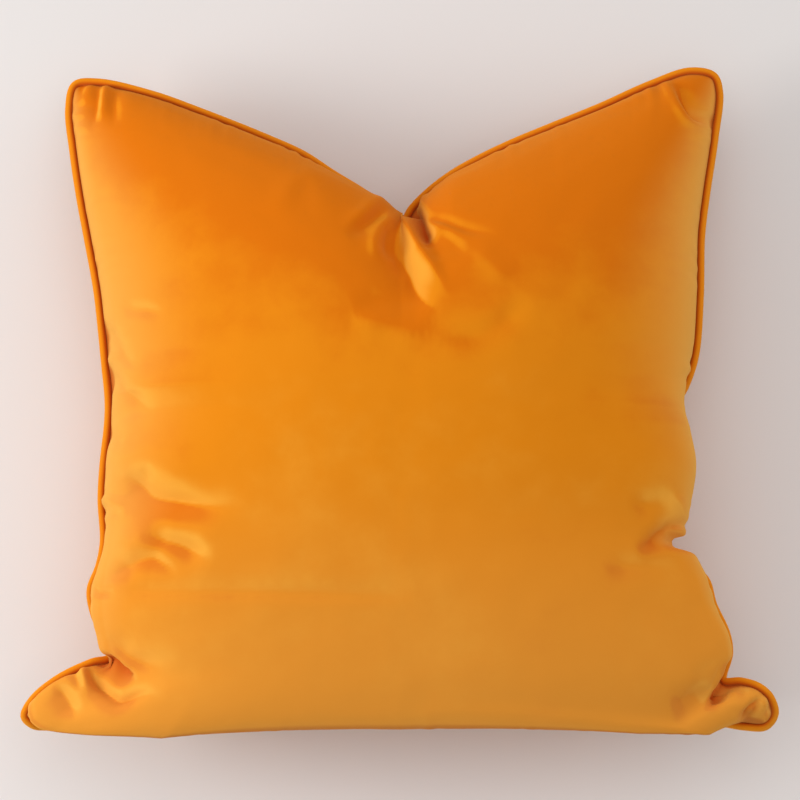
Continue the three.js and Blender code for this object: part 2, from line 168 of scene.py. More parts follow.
# The seam: x, y and height of the piping's middle, and how far the front and back bulge past it.
BOTTOM_LEFT = (-271, 15, 100, 0, 0)
BOTTOM_RIGHT = (270, 17, 104, 0, 0)
TOP_RIGHT = (237, 499, 58, 0, 0)
TOP_LEFT = (-245, 491, 62, 0, 0)
BOTTOM = [
    (-265, 9, 97, 18, 0),
    (-258, 8, 94, 24, 2),
    (-239, 10, 88, 31, 6),
    (-182, 19, 78, 45, 18),
    (-95, 25, 72, 46, 26),
    (0, 27, 70, 47, 26),
    (88, 25, 72, 45, 26),
    (182, 19, 76, 42, 18),
    (229, 12, 84, 35, 6),
    (250, 8, 92, 11, 0),
    (264, 8, 98, 1, 0),
]
RIGHT = [
    (266, 29, 108, 0, 0),
    (258, 36, 108, 1, 0),
    (246, 40, 104, 1, 0),
    (234, 41, 98, 1, 0),
    (238, 61, 102, 12, 6),
    (236, 75, 102, 13, 8),
    (227, 96, 100, 12, 10),
    (222, 114, 98, 13, 10),
    (211, 124, 94, 20, 12),
    (193, 142, 88, 30, 14),
    (200, 171, 90, 28, 14),
    (205, 197, 92, 28, 14),
    (200, 222, 92, 28, 14),
    (200, 239, 92, 24, 14),
    (210, 258, 93, 13, 12),
    (217, 280, 95, 6, 12),
    (221, 324, 95, 3, 10),
    (223, 369, 90, 0, 2),
    (228, 403, 82, 0, 0),
    (236, 448, 70, 0, 0),
    (241, 486, 60, 0, 0),
]
TOP = [
    (-228, 493, 62, 0, 0),
    (-186, 482, 68, 0, 0),
    (-151, 468, 74, 0, 0),
    (-103, 447, 82, 2, 0),
    (-72, 432, 86, 4, 2),
    (-50, 417, 88, 8, 4),
    (-26, 402, 88, 9, 8),
    (-10, 390, 86, 6, 12),
    (2, 382, 83, 0, 14),
    (9, 392, 82, 2, 14),
    (21, 404, 84, 5, 14),
    (38, 417, 85, 6, 10),
    (56, 428, 83, 4, 6),
    (81, 441, 80, 2, 2),
    (112, 455, 76, 0, 0),
    (150, 472, 70, 0, 0),
    (189, 491, 64, 0, 0),
    (219, 502, 60, 0, 0),
]
LEFT = [
    (-265, 27, 102, 0, 0),
    (-247, 42, 102, 0, 0),
    (-223, 54, 98, 0, 0),
    (-211, 58, 92, 2, 2),
    (-216, 74, 92, 5, 5),
    (-223, 92, 94, 4, 5),
    (-225, 107, 95, 3, 4),
    (-219, 124, 95, 8, 4),
    (-216, 142, 94, 5, 4),
    (-218, 173, 94, 0, 4),
    (-217, 198, 94, 3, 4),
    (-214, 230, 94, 0, 4),
    (-214, 247, 93, 7, 4),
    (-217, 274, 92, 0, 4),
    (-220, 300, 90, 1, 4),
    (-224, 330, 88, 0, 3),
    (-231, 365, 84, 0, 2),
    (-238, 399, 80, 0, 0),
    (-245, 439, 72, 0, 0),
    (-249, 472, 66, 0, 0),
]
SEAM_ROWS = [BOTTOM_LEFT, *BOTTOM, BOTTOM_RIGHT, *RIGHT, TOP_RIGHT, *TOP[::-1], TOP_LEFT, *LEFT[::-1]]
SEAM = np.array(SEAM_ROWS, float) * MM
ROWS = len(SEAM_ROWS)

# Folds of the face: route, reach to the left and to the right of it, lift (sunk where
# negative), shade (how far it is painted with the crease shade), crease (1 sharp, 2 soft).
FOLDS = [
    # the chop: the crease beside its lobe, the lobe, and the slit that the lobe hides
    ([(-4, 382), (-2, 367), (-1, 353), (-1, 343), (2, 333), (6, 325), (9, 316), (14, 307), (21, 300),
      (30, 293)], 9, 9, -7, 0.12, 1.3),
    ([(-22, 440), (-12, 415), (-5, 396), (2, 378), (8, 361), (13, 349), (19, 338), (24, 328), (30, 317),
      (35, 304)], 4, 9, 6.5, 0, 1.8),
    ([(0, 396), (4, 389), (9, 379), (13, 366), (16, 357), (18, 349), (21, 342)], 5, 2.5, -10, 1, 1.8),
    # the small folds that run out of it to the left
    ([(-2, 384), (-9, 371), (-14, 360), (-17, 350), (-16, 340), (-11, 332)], 5, 5, 3, 0, 2),
    ([(-6, 370), (-8, 358), (-8, 347), (-5, 337)], 5, 5, -2.5, 0, 2),
    ([(-6, 385), (-14, 375), (-23, 367), (-31, 359), (-39, 353)], 6, 4, -4, 0.1, 1.8),
    ([(-6, 394), (-16, 389), (-24, 376), (-32, 368), (-41, 360)], 4, 5, 2.2, 0, 2),
    # and to the right
    ([(13, 378), (23, 370), (34, 365), (45, 360), (58, 356), (74, 352)], 5, 3, -2.2, 0.05, 1.8),
    ([(13, 373), (22, 367), (31, 362), (41, 356), (53, 350)], 3, 6, 1.3, 0, 2),
    ([(17, 349), (22, 342), (28, 333)], 6, 6, -2, 0, 2),
    ([(26, 361), (33, 353), (40, 344), (46, 332)], 6, 8, -2, 0, 2),
    ([(50, 342), (62, 335), (71, 325), (75, 314)], 8, 8, 1.1, 0, 2),
    # the slack below it
    ([(-34, 301), (-14, 304), (6, 303), (21, 296)], 9, 9, -1.9, 0, 2),
    ([(-35, 290), (-14, 288), (6, 283), (28, 285)], 10, 12, 1.5, 0, 2),
    ([(28, 277), (49, 277), (69, 285), (82, 297), (89, 312)], 8, 8, -1.5, 0, 2),
    ([(-93, 367), (-85, 382), (-75, 398), (-65, 404), (-56, 382), (-47, 356)], 9, 9, 1.3, 0, 2),
    # the gathers of the left edge
    ([(-220, 307), (-215, 297), (-211, 289), (-207, 282), (-202, 275), (-195, 268),
      (-187, 262)], 5, 5, -4, 0.08, 1.6),
    ([(-217, 273), (-213, 265), (-206, 254), (-200, 246), (-192, 240), (-184, 235),
      (-174, 229)], 6, 6, -5, 0.08, 1.6),
    ([(-217, 226), (-213, 220), (-205, 213), (-197, 207)], 5, 5, -2, 0.05, 1.8),
    ([(-203, 310), (-192, 307), (-180, 304), (-167, 299)], 4, 6, -1.8, 0, 1.8),
    # the arched dents below them
    ([(-212, 187), (-204, 190), (-196, 192), (-182, 193), (-167, 188), (-155, 180), (-145, 172),
      (-134, 161)], 16, 9, 1.8, 0, 2),
    ([(-208, 185), (-198, 183), (-191, 180), (-186, 175), (-180, 169), (-172, 166), (-161, 164),
      (-150, 162), (-137, 160), (-122, 160), (-106, 161)], 7, 9, -7, 0.1, 1.5),
    ([(-183, 191), (-181, 185), (-179, 178)], 3, 3, -1.2, 0, 2),
    ([(-220, 169), (-213, 171), (-204, 166), (-194, 161)], 3, 6, 2.5, 0, 2),
    ([(-218, 165), (-207, 161), (-198, 158)], 3, 4, -1.8, 0, 2),
    ([(-177, 143), (-166, 144), (-154, 142), (-143, 137), (-135, 131), (-128, 124)], 14, 7, 1.4, 0, 2),
    ([(-186, 143), (-177, 139), (-166, 136), (-157, 133), (-148, 129), (-140, 125),
      (-132, 119)], 7, 9, -5.5, 0.1, 1.5),
    ([(-206, 125), (-198, 131), (-186, 134), (-174, 131), (-165, 125), (-160, 119)], 10, 7, 1.6, 0, 2),
    ([(-222, 106), (-206, 115), (-197, 120), (-188, 124), (-179, 125), (-172, 122), (-163, 115),
      (-156, 108)], 6, 8, -5.5, 0.08, 1.5),
    ([(-200, 102), (-186, 101), (-154, 100), (-118, 99), (-70, 98), (-14, 96),
      (20, 96)], 9, 5, -1.5, 0, 1.6),
    ([(-224, 108), (-218, 103), (-210, 102), (-204, 103)], 2, 3, -2, 0.1, 1.8),
    # the lower left corner
    ([(-217, 62), (-212, 57), (-210, 55), (-205, 51), (-201, 47), (-196, 44), (-192, 41),
      (-189, 36)], 2.5, 5, -10, 0.8, 1.5),
    ([(-216, 66), (-209, 58), (-203, 53), (-198, 49), (-193, 45), (-190, 41)], 5, 2.5, 3, 0, 2),
    ([(-210, 71), (-204, 63), (-198, 56), (-191, 52), (-182, 50), (-171, 51),
      (-158, 55)], 8, 5, -4, 0.05, 1.7),
    ([(-228, 57), (-224, 49), (-219, 41), (-213, 35), (-207, 29), (-201, 25), (-193, 27), (-186, 29),
      (-178, 29), (-167, 25)], 4, 5, -6.5, 0.25, 1.3),
    ([(-231, 53), (-228, 45), (-225, 37), (-220, 30)], 4, 4, 2.5, 0, 2),
    ([(-235, 53), (-233, 46), (-230, 39), (-229, 32)], 3, 4, -2.5, 0.05, 1.7),
    ([(-250, 38), (-243, 33), (-239, 28), (-236, 22), (-234, 17), (-232, 9)], 4, 7, -4, 0.05, 1.6),
    ([(-215, 59), (-215, 55), (-213, 50), (-211, 44)], 2, 2, -2.5, 0.5, 1.8),
    # the pinch of the right edge
    ([(168, 128), (176, 134), (184, 141), (189, 145), (195, 148), (206, 150),
      (214, 149)], 4, 6.5, -6, 0.45, 1.5),
    ([(191, 146), (197, 146), (204, 145), (211, 143)], 4, 4, 2.5, 0, 2),
    ([(190, 141), (195, 138), (201, 137), (209, 135), (215, 131)], 3, 3, -2, 0.1, 1.5),
    ([(192, 168), (199, 166), (202, 161), (205, 154), (208, 147)], 4, 4, 1.5, 0, 2),
    ([(144, 115), (157, 118), (171, 119), (186, 119), (202, 118)], 6, 8, -1.5, 0, 1.8),
    ([(163, 160), (178, 164), (187, 166), (197, 170)], 6, 8, -2, 0, 2),
    # the lower right corner
    ([(242, 56), (238, 49), (235, 43), (231, 38), (228, 32), (225, 28), (222, 23),
      (219, 18)], 4, 2.2, -10, 1, 1.7),
    ([(235, 52), (231, 45), (226, 38), (222, 33), (219, 27), (216, 21)], 2.5, 6, 3, 0, 2),
    ([(193, 20), (200, 23), (208, 28), (215, 32), (222, 37)], 5, 7, -3, 0.1, 1.7),
    ([(206, 36), (215, 43), (224, 49), (235, 56)], 4, 5, -1.2, 0, 2),
    ([(263, 31), (257, 26), (252, 22), (248, 17), (246, 13), (244, 9)], 2.5, 1.8, -3.5, 0.5, 1.6),
    ([(259, 25), (256, 20), (253, 16), (250, 13), (247, 9)], 2.5, 1.8, -2.2, 0.4, 1.6),
    ([(241, 39), (245, 35), (251, 33)], 4, 4, -1.2, 0, 2),
    # the upper corners
    ([(-225, 495), (-226, 483), (-227, 470), (-229, 458), (-231, 448)], 4, 4, -3, 0.15, 1.6),
    ([(-221, 494), (-222, 482), (-222, 469), (-223, 454)], 4, 4, 2.5, 0, 2),
    ([(-216, 492), (-214, 476), (-213, 461), (-213, 447)], 5, 5, -2.5, 0.05, 1.8),
    ([(203, 498), (208, 484), (212, 473), (219, 462), (231, 457), (242, 454)], 9, 2.5, -6, 0.3, 1.4),
    ([(199, 495), (204, 480), (208, 468), (216, 457), (228, 451)], 3, 5, 2, 0, 2),
]

# Pinches of the face: the place, the reach across and up, and how far it is drawn across.
PINCHES = [
    # the right edge
    (213, 138, 18, 5, -11),
]


def smoothstep(x, low, high):
    t = np.clip((x - low) / (high - low), 0, 1)
    return t * t * (3 - 2 * t)


def seam_at(share):
    """Points of the seam, a closed centripetal Catmull-Rom curve, at shares of its rows."""
    at = (np.asarray(share, float) % 1) * ROWS
    row = np.floor(at).astype(int)
    part = (at - row)[:, None]
    p0, p1, p2, p3 = (SEAM[(row + k) % ROWS, :3] for k in (-1, 0, 1, 2))
    d0, d1, d2 = (
        np.sqrt(np.linalg.norm(b - a, axis=1))[:, None] for a, b in ((p0, p1), (p1, p2), (p2, p3))
    )
    t1 = ((p1 - p0) / d0 - (p2 - p0) / (d0 + d1) + (p2 - p1) / d1) * d1
    t2 = ((p2 - p1) / d1 - (p3 - p1) / (d1 + d2) + (p3 - p2) / d2) * d1
    c2 = -3 * p1 + 3 * p2 - 2 * t1 - t2
    c3 = 2 * p1 - 2 * p2 + t1 + t2
    return p1 + t1 * part + c2 * part**2 + c3 * part**3


def seam_value(column, share):
    """A column of the seam tables at shares of its rows."""
    at = (np.asarray(share, float) % 1) * ROWS
    return np.interp(at, np.arange(ROWS + 1), np.append(SEAM[:, column], SEAM[0, column]))


def outward(share, stretch):
    """The seam's sideways normals, pointing out of the cushion, over a stretch of the seam."""
    along = seam_at(share + stretch) - seam_at(share - stretch)
    out = np.stack([along[:, 1], -along[:, 0], np.zeros(len(along))], axis=1)
    return out / np.linalg.norm(out, axis=1)[:, None]


def share_of(row):
    return SEAM_ROWS.index(row) / ROWS


def fractions(closeness, cells):
    """Fractions from 0 to 1, close together where closeness is high."""
    middles = (np.arange(FRACTION_STEPS) + 0.5) / FRACTION_STEPS
    sums = np.append(0, np.cumsum(closeness(middles)))
    even = np.linspace(0, sums[-1], cells + 1)
    return np.interp(even, sums, np.linspace(0, 1, FRACTION_STEPS + 1))


def near(s, middle, reach):
    return np.exp(-(((s - middle) / reach) ** 2))


def at_seam(s):
    return SEAM_CROWD * (np.exp(-s / SEAM_CROWD_REACH) + np.exp((s - 1) / SEAM_CROWD_REACH))


class Side:
    """One side of the seam: its stitch line, and how the panels bulge past it."""

    def __init__(self, start, end, at):
        dense = np.linspace(start, end, SIDE_STEPS + 1)
        points = seam_at(dense)
        run = np.append(0, np.cumsum(np.linalg.norm(np.diff(points, axis=0), axis=1)))
        self.run = at * run[-1]
        self.share = np.interp(self.run, run, dense)
        inset = PIPING_RADIUS - PIPING_BITE
        self.stitch = seam_at(self.share) - outward(self.share, STITCH_STRETCH) * inset
        self.out = outward(self.share, BULGE_STRETCH)
        self.front = seam_value(3, self.share)
        self.back = seam_value(4, self.share)
        weight = near(at[None, :], at[:, None], PUCKER_SHARE) * np.gradient(at)[None, :]
        average = weight @ self.stitch / weight.sum(axis=1)[:, None]
        inner = smoothstep(np.minimum(at, 1 - at), 0, CORNER_SHARE)[:, None]
        self.smooth = self.stitch * (1 - inner) + average * inner


class Weave:
    """A grid over a panel: its fractions across and up, and the four sides that bound it."""

    def __init__(self, cells):
        self.count = cells + 1
        across = fractions(
            lambda s: 1 + at_seam(s) + CHOP_CROWD * near(s, CHOP_AT, CHOP_CROWD_REACH), cells
        )
        up = fractions(lambda s: 1 + at_seam(s), cells)
        self.u, self.v = np.meshgrid(across, up)
        self.bottom = Side(0, share_of(BOTTOM_RIGHT), across)
        self.right = Side(share_of(BOTTOM_RIGHT), share_of(TOP_RIGHT), up)
        self.top = Side(share_of(TOP_LEFT), share_of(TOP_RIGHT), across)
        self.left = Side(1, share_of(TOP_LEFT), up)
        self.seam = np.zeros(self.u.shape, bool)
        self.seam[0] = self.seam[-1] = True
        self.seam[:, 0] = self.seam[:, -1] = True

    def sides(self):
        """Each side with the distance from it as a share of the panel, and if it runs upwards."""
        return (
            (self.bottom, self.v, False),
            (self.top, 1 - self.v, False),
            (self.left, self.u, True),
            (self.right, 1 - self.u, True),
        )

    def spread(self, values, upwards):
        """Values along a side, laid out so that they combine with the grid."""
        return values[:, None] if upwards else values[None]

    def flat(self):
        """The surface that the seam spans, before the filling rounds it."""
        u, v = self.u[..., None], self.v[..., None]
        low = self.bottom.stitch[0] * (1 - u) + self.bottom.stitch[-1] * u
        high = self.top.stitch[0] * (1 - u) + self.top.stitch[-1] * u
        start = self.bottom.stitch[0] * (1 - v) + self.top.stitch[0] * v
        end = self.bottom.stitch[-1] * (1 - v) + self.top.stitch[-1] * v
        points = low * (1 - v) + high * v
        for (side, distance, upwards), chord in zip(self.sides(), (low, high, start, end)):
            stitch = self.spread(side.stitch, upwards)
            smooth = self.spread(side.smooth, upwards)
            closeness = 1 - distance[..., None]
            points = points + (smooth - chord) * closeness**BEND_FADE
            points = points + (stitch - smooth) * closeness**PUCKER_FADE
        return points

    def fullness(self):
        """How full the cushion is, from 0 at the seam to 1 where it is fullest."""
        warp = math.log(0.5) / math.log(FULLEST_AT)
        across = 1 - np.abs(2 * self.u - 1) ** CROWN_BREADTH
        up = 1 - np.abs(2 * self.v**warp - 1) ** CROWN_BREADTH
        return np.clip(across * up, 0, 1) ** EDGE_STEEPNESS

    def bulge(self, panel):
        """How far a panel bulges out past its seam, as vectors."""
        shift = np.zeros(self.u.shape + (3,))
        for side, distance, upwards in self.sides():
            amount = side.front if panel == "front" else side.back
            swell = (distance / BULGE_REACH) * np.exp(1 - distance / BULGE_REACH)
            shift += self.spread(side.out * amount[:, None], upwards) * swell[..., None]
        return shift

    def groove_shade(self):
        """How much painted shade a panel takes from the groove that its seam makes beside the piping.
        """
        depth = np.zeros(self.u.shape)
        for side, distance, _ in self.sides():
            depth = np.maximum(depth, np.exp(-distance * side.run[-1] / GROOVE_WIDTH))
        return depth

    def gathers(self, turn):
        """How far the stitching draws the velvet in along the seam, as a lift."""
        lift = np.zeros(self.u.shape)
        for side, distance, upwards in self.sides():
            wave = sum(
                np.sin(2 * math.pi * side.run / (length * MM) + turn * (k + 1)) / (k + 2)
                for k, length in enumerate(GATHER_LENGTHS)
            )
            for length in GATHER_GROUPS:
                wave = wave * (0.5 + 0.5 * np.sin(2 * math.pi * side.run / (length * MM) + turn))
            depth = self.spread(GATHER_DEPTH * (2 * wave - 0.3), upwards)
            lift += depth * np.exp(-distance / GATHER_REACH) * (1 - np.exp(-distance / GATHER_START))
        return lift


def rested(z):
    """Heights over the rest surface, rounded off to 0 where the cushion would sink into it."""
    soft = (z + REST_ROUNDING) ** 2 / (4 * REST_ROUNDING)
    return np.where(z >= REST_ROUNDING, z, np.where(z <= -REST_ROUNDING, 0, soft))


def normals_of(grid):
    across = np.gradient(grid, axis=1)
    up = np.gradient(grid, axis=0)
    normal = np.cross(across, up)
    return normal / np.maximum(np.linalg.norm(normal, axis=2), 1e-12)[..., None]


def rounded(route):
    """A fold's route with its corners rounded into a smooth curve, in metres."""
    points = np.array([route[0], *route, route[-1]], float) * MM
    curve = [points[1]]
    for p0, p1, p2, p3 in zip(points, points[1:], points[2:], points[3:]):
        for t in np.arange(1, ROUTE_STEPS + 1) / ROUTE_STEPS:
            bend = (2 * p0 - 5 * p1 + 4 * p2 - p3) * t**2 + (3 * p1 - p0 - 3 * p2 + p3) * t**3
            curve.append((2 * p1 + (p2 - p0) * t + bend) / 2)
    return np.array(curve)


def fold_lift(x, y, route, left_reach, right_reach, lift, shade, crease):
    """How far a fold lifts the velvet at points, and its painted shade: both less off its route."""
    route = rounded(route)
    legs = len(route) - 1
    total = np.zeros(x.shape)
    along = np.zeros(x.shape)
    on_left = np.zeros(x.shape)
    for leg in range(legs):
        run = route[leg + 1] - route[leg]
        to_left = np.array([-run[1], run[0]]) / np.linalg.norm(run)
        dx, dy = x - route[leg, 0], y - route[leg, 1]
        part = np.clip((dx * run[0] + dy * run[1]) / (run @ run), 0, 1)
        off_x, off_y = dx - part * run[0], dy - part * run[1]
        distance = np.hypot(off_x, off_y) + 1e-6
        weight = distance**-NEARNESS
        total += weight
        along += weight * (leg + part) / legs
        on_left += weight * (to_left[0] * off_x + to_left[1] * off_y) / distance
    on_left = 0.5 + 0.5 * on_left / total
    nearest = total ** (-1 / NEARNESS)
    reach = (right_reach + (left_reach - right_reach) * on_left) * MM
    along = along / total
    ends = smoothstep(along, *FADES_IN) * (1 - smoothstep(along, *FADES_OUT))
    strength = np.exp(-((nearest / reach) ** crease)) * ends
    return lift * MM * strength, shade * strength


def pinched(x, y, place_x, place_y, reach_x, reach_y, draw):
    off_x = (x / MM - place_x) / reach_x
    off_y = (y / MM - place_y) / reach_y
    return draw * MM * np.exp(-(off_x**2) - off_y**2)


def front_panel(weave):
    full = weave.fullness()
    grid = weave.flat() + weave.bulge("front")
    grid[..., 2] += FACE_RISE * full
    pinch = sum(pinched(grid[..., 0], grid[..., 1], *row) for row in PINCHES)
    grid[..., 0] += np.where(weave.seam, 0, pinch)
    smooth_normals = normals_of(grid)
    folds = [fold_lift(grid[..., 0], grid[..., 1], *fold) for fold in FOLDS]
    most = DEEPEST_FOLD * FACE_RISE * full
    lift = np.clip(sum(lifts for lifts, _ in folds), -most, most)
    shade = np.clip(sum(shades for _, shades in folds), 0, 1)
    drawn = weave.gathers(FRONT_TURN)
    drawn[weave.seam] = lift[weave.seam] = 0
    grid += smooth_normals * (drawn + lift)[..., None]
    # painted light and shade: paler where folds face the lights, deeper where they face away
    slope = PAINTED_SLOPE_SHADING * smoothstep(weave.v, *PAINTED_SLOPE_SHADING_OVER)
    painted_lighting = (normals_of(grid) - smooth_normals) @ PAINTED_LIGHT_FROM - slope * smooth_normals[..., 1]
    # painted shade where the face turns under at the bottom edge, in its creases and along its groove
    under_shade = UNDER_PAINTED_SHADE * smoothstep(-smooth_normals[..., 1], *UNDER_TURN)
    shade = np.maximum(np.maximum(shade, under_shade), weave.groove_shade())
    return grid, shade, painted_lighting, painted_sheen_share(weave, smooth_normals)


def painted_sheen_share(weave, normals):
    """How much painted sheen pales a panel near its two side edges, and towards its bottom edge."""
    beside = smoothstep(np.abs(2 * weave.u - 1), *SIDES_SHARE)
    below = LOWER_PAINTED_SHEEN * (1 - smoothstep(weave.v, *LOWER_SHARE))
    return np.maximum(smoothstep(np.abs(normals[..., 0]), *SIDES_TURN) * beside, below)


def back_panel(weave):
    grid = weave.flat() + weave.bulge("back")
    full = weave.fullness()
    lift = weave.gathers(BACK_TURN)
    lift[weave.seam] = 0
    grid -= normals_of(grid) * lift[..., None]
    lowered = rested(grid[..., 2] - BACK_DROP * full)
    grid[..., 2] = np.where(weave.seam, grid[..., 2], lowered)
    return grid


def mesh_object(name, vertices, faces):
    mesh = bpy.data.meshes.new(name)
    mesh.from_pydata([tuple(v) for v in vertices], [], faces)
    mesh.validate()
    mesh.update()
    mesh.shade_smooth()
    made = bpy.data.objects.new(name, mesh)
    bpy.context.scene.collection.objects.link(made)
    return made


def put_values(piece, name, values):
    """Values at a piece's points, for its material."""
    piece.data.attributes.new(name, "FLOAT", "POINT").data.foreach_set("value", values)


def grid_faces(ids, flip):
    quads = np.stack([ids[:-1, :-1], ids[:-1, 1:], ids[1:, 1:], ids[1:, :-1]], axis=-1).reshape(-1, 4)
    return quads[:, ::-1] if flip else quads


def piping_mesh():
    """The piping: a covered cord that follows the seam all round."""
    dense = np.linspace(0, 1, SEAM_STEPS + 1)
    run = np.append(0, np.cumsum(np.linalg.norm(np.diff(seam_at(dense), axis=0), axis=1)))
    share = np.interp(np.linspace(0, run[-1], PIPING_STEPS, endpoint=False), run, dense)
    centre = seam_at(share)
    out = outward(share, PIPING_STRETCH)
    along = seam_at(share + PIPING_STRETCH) - seam_at(share - PIPING_STRETCH)
    along /= np.linalg.norm(along, axis=1)[:, None]
    up = np.cross(out, along)
    up /= np.linalg.norm(up, axis=1)[:, None]
    angle = np.linspace(0, 2 * math.pi, PIPING_SIDES, endpoint=False)
    ring = centre[:, None] + PIPING_RADIUS * (
        out[:, None] * np.cos(angle)[None, :, None] + up[:, None] * np.sin(angle)[None, :, None]
    )
    step = np.arange(PIPING_STEPS)[:, None]
    here = step * PIPING_SIDES
    ahead = (step + 1) % PIPING_STEPS * PIPING_SIDES
    side = np.arange(PIPING_SIDES)[None]
    next_side = (side + 1) % PIPING_SIDES
    corners = [here + side, ahead + side, ahead + next_side, here + next_side]
    faces = np.stack(corners, axis=-1).reshape(-1, 4)
    # painted shade on the piping's inner side, beside the groove
    inner_shade = np.broadcast_to(smoothstep(-np.cos(angle), *PIPING_SHADE), (PIPING_STEPS, PIPING_SIDES))
    return ring.reshape(-1, 3), faces.tolist(), inner_shade.reshape(-1)


def points_of(mesh):
    points = np.empty(len(mesh.vertices) * 3)
    mesh.vertices.foreach_get("co", points)
    return points.reshape(-1, 3)


def settled(weave, front, back):
    """How the flat-cut panels settle over the filling, with the seam held: two fields of moves."""
    inner = ~weave.seam
    ids = np.arange(weave.count**2).reshape(weave.count, weave.count)
    back_ids = ids.copy()
    back_ids[inner] = weave.count**2 + np.arange(inner.sum())
    faces = np.concatenate([grid_faces(ids, False), grid_faces(back_ids, True)])
    start = np.concatenate([front.reshape(-1, 3), back[inner]])
    cut_x = (weave.u - 0.5) * CUT_WIDTH
    cut_y = (weave.v - 0.5) * CUT_HEIGHT
    flat = np.stack([cut_x, cut_y, CUT_RISE * weave.fullness()], axis=-1)
    cut = np.concatenate([flat.reshape(-1, 3), flat[inner] * (1, 1, -1)])

    piece = mesh_object("settling", start, faces.tolist())
    held = piece.vertex_groups.new(name="held")
    held.add(list(range(len(start))), FILLING_HOLD, "REPLACE")
    held.add(np.flatnonzero(weave.seam.reshape(-1)).tolist(), 1, "REPLACE")
    piece.shape_key_add(name="Basis")
    cut_key = piece.shape_key_add(name="cut")
    cut_key.data.foreach_set("co", cut.reshape(-1))
    cloth = piece.modifiers.new("cloth", "CLOTH")
    settings = cloth.settings
    settings.quality = CLOTH_QUALITY
    settings.mass = POINT_MASS
    settings.tension_stiffness = STRETCH_STIFFNESS
    settings.compression_stiffness = STRETCH_STIFFNESS
    settings.shear_stiffness = SHEAR_STIFFNESS
    settings.bending_stiffness = BEND_STIFFNESS
    settings.tension_damping = STRETCH_DAMPING
    settings.compression_damping = STRETCH_DAMPING
    settings.shear_damping = STRETCH_DAMPING
    settings.bending_damping = BEND_DAMPING
    settings.air_damping = AIR_DAMPING
    settings.rest_shape_key = cut_key
    settings.vertex_group_mass = "held"
    settings.pin_stiffness = 1
    settings.effector_weights.gravity = 0
    cloth.collision_settings.use_collision = False
    cloth.collision_settings.use_self_collision = False
    cloth.point_cache.frame_start = 1
    cloth.point_cache.frame_end = CLOTH_FRAMES
    for frame_number in range(1, CLOTH_FRAMES + 1):
        bpy.context.scene.frame_set(frame_number)
    shape = points_of(piece.evaluated_get(bpy.context.evaluated_depsgraph_get()).data)
    bpy.context.scene.frame_set(1)
    mesh = piece.data
    bpy.data.objects.remove(piece)
    bpy.data.meshes.remove(mesh)
    moves = shape - start
    back_moves = np.zeros(back.shape)
    back_moves[inner] = moves[weave.count**2 :]
    front_moves = moves[: weave.count**2].reshape(front.shape)
    for field in (front_moves, back_moves):
        for _ in range(SMOOTHING):
            middle = field[1:-1, 1:-1]
            around = field[:-2, 1:-1] + field[2:, 1:-1] + field[1:-1, :-2] + field[1:-1, 2:]
            field[1:-1, 1:-1] = (middle * 4 + around) / 8
    return front_moves, back_moves


def stretched(field, count):
    """A field on a coarse grid, carried to a finer one by smooth curves through its values."""
    for axis in (0, 1):
        field = np.moveaxis(field, axis, 0)
        last = len(field) - 1
        at = np.linspace(0, last, count)
        low = np.minimum(at.astype(int), last - 1)
        t = (at - low).reshape(-1, 1, 1)
        p0, p1, p2, p3 = (field[np.clip(low + k, 0, last)] for k in (-1, 0, 1, 2))
        curve = 2 * p1 + (p2 - p0) * t + (2 * p0 - 5 * p1 + 4 * p2 - p3) * t**2
        curve = (curve + (3 * p1 - p0 - 3 * p2 + p3) * t**3) / 2
        field = np.moveaxis(curve, 0, axis)
    return field


# Both pieces are drawn in the tables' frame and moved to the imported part's place.
piping_points, piping_faces, piping_shade = piping_mesh()
cad_low, cad_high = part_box("piping")
place = (np.array(cad_low) + np.array(cad_high)) / 2 - (piping_points.min(0) + piping_points.max(0)) / 2
place[2] = 0

face_weave, back_weave = Weave(FACE_CELLS), Weave(BACK_CELLS)
face, shade, painted_lighting, painted_sheen = front_panel(face_weave)
back = back_panel(back_weave)
cloth_weave = Weave(CLOTH_CELLS)
face_moves, back_moves = settled(cloth_weave, front_panel(cloth_weave)[0], back_panel(cloth_weave))
face += stretched(face_moves, face_weave.count)
back += stretched(back_moves, back_weave.count) * smoothstep(back[..., 2:], 0, REST_ROUNDING)
face_ids = np.arange(face_weave.count**2).reshape(face_weave.count, face_weave.count)
back_ids = face_ids.size + np.arange(back_weave.count**2).reshape(back_weave.count, back_weave.count)
cushion_faces = np.concatenate([grid_faces(face_ids, False), grid_faces(back_ids, True)])
cushion_points = np.concatenate([face.reshape(-1, 3), back.reshape(-1, 3)])
cushion = mesh_object("velvet_cushion", cushion_points + place, cushion_faces.tolist())
unshaded = np.zeros(back_ids.size)
for name, values in (("shade", shade), ("painted_lighting", painted_lighting), ("painted_sheen", painted_sheen)):
    put_values(cushion, name, np.append(values.reshape(-1), unshaded))
piping = mesh_object("velvet_piping", piping_points + place, piping_faces)
put_values(piping, "shade", piping_shade)


def noise(tree, spot, settings):
    """The level of a noise at a spot."""
    made = tree.nodes.new("ShaderNodeTexNoise")
    for name, value in settings.items():
        made.inputs[name].default_value = value
    tree.links.new(spot, made.inputs["Vector"])
    return made.outputs["Fac"]


def point_value(tree, name):
    """A value that put_values gave to a piece's points."""
    made = tree.nodes.new("ShaderNodeAttribute")
    made.attribute_name = name
    return made.outputs["Fac"]


def towards(tree, base, colour, amount):
    """A base colour, turned to another one by an amount."""
    made = tree.nodes.new("ShaderNodeMix")
    made.data_type = "RGBA"
    made.inputs["B"].default_value = (*colour, 1)
    tree.links.new(amount, made.inputs["Factor"])
    tree.links.new(base, made.inputs["A"])
    return made.outputs["Result"]


